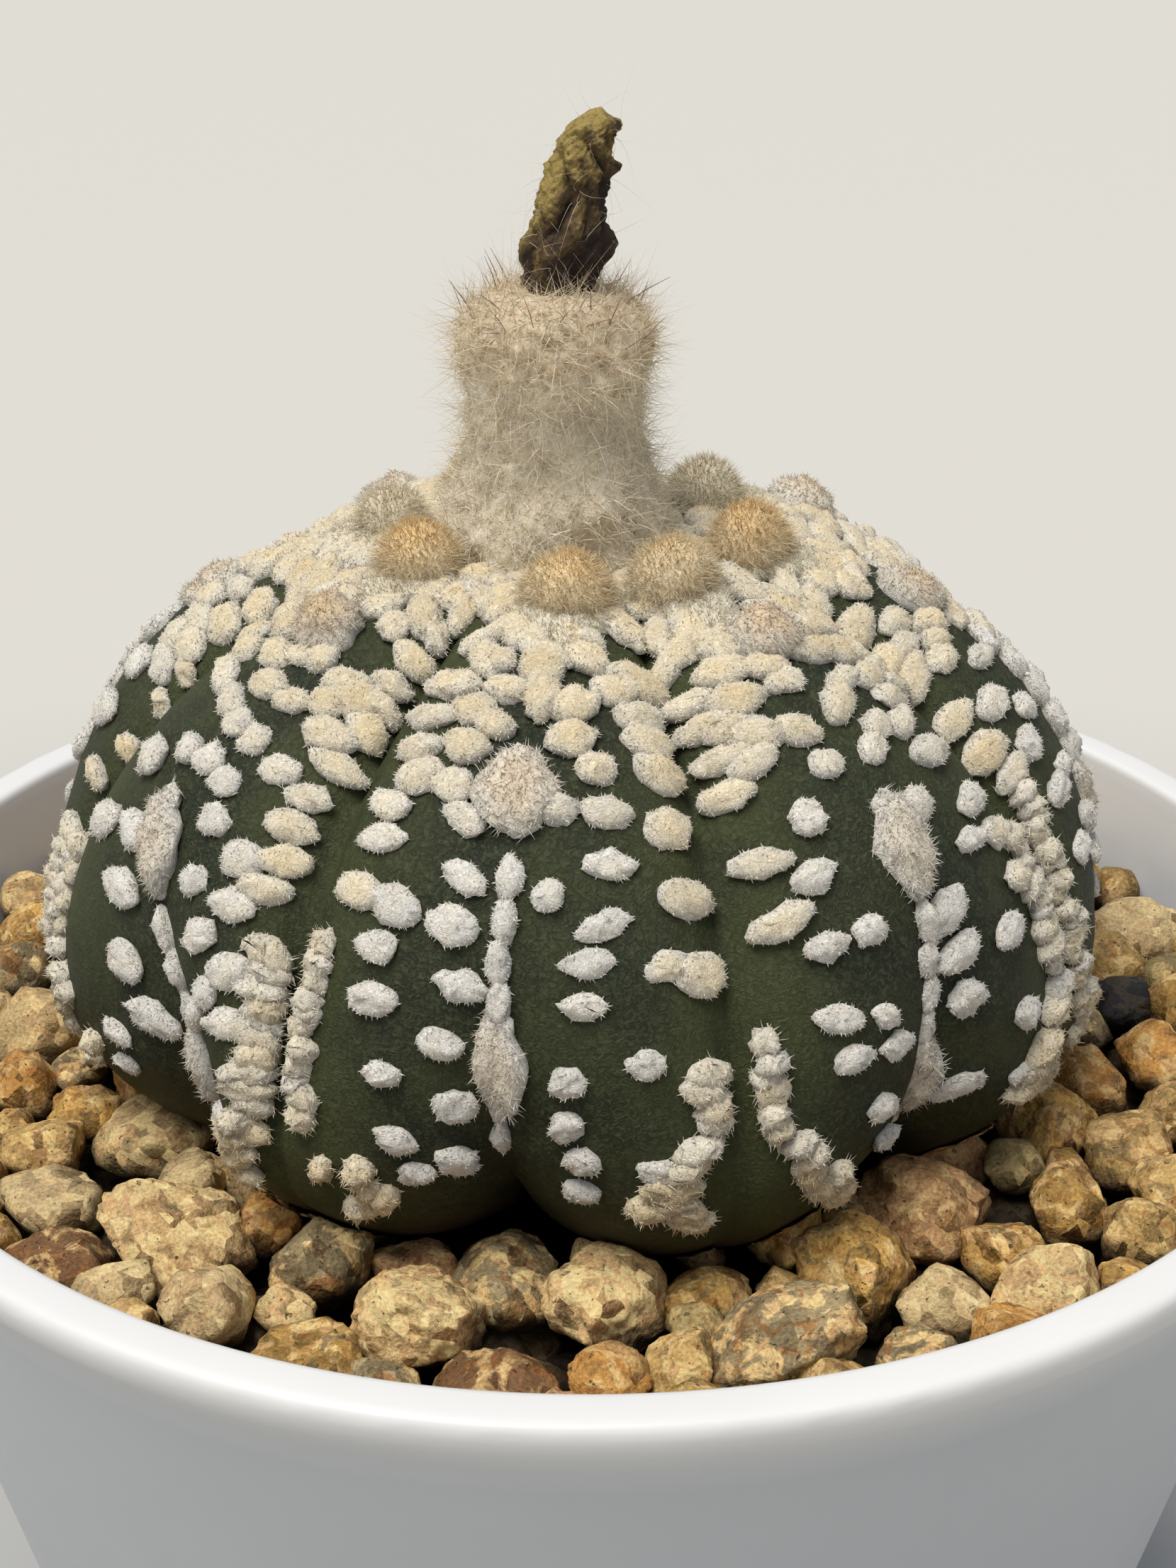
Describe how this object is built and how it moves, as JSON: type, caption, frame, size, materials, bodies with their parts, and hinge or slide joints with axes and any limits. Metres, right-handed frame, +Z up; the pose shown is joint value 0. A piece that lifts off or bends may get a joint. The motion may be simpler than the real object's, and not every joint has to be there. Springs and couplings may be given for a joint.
{
  "type": "potted super kabuto star cactus",
  "caption": "Star cactus with felted white flecks, woolly fruit and a dried flower, in a round white pot with pebble top dressing.",
  "frame": {"origin": "on the pot's axis, at the surface that the pot stands on", "axes": "+Z up along the pot's axis, the plant's front towards -Y"},
  "size_m": [0.105, 0.105, 0.1373],
  "materials": {
    "pot": "smooth white, with a soft shine",
    "soil": "dark, loose and gritty",
    "gravel": "ochre pebbles, matte, with grey and cream patches",
    "skin": "dark green skin with a fine matte bloom",
    "wool": "golden woolly felt",
    "fruit_wool": "grey cream fluff with fine brown bristles",
    "petal": "dried and shrivelled, olive to dark brown"
  },
  "bodies": {
    "root": {"pot": "pot", "soil": "soil", "gravel": "gravel", "cactus_body": "skin", "crown_wool": "wool", "fruit": "fruit_wool", "dried_flower": "petal"}
  },
  "joints": []
}
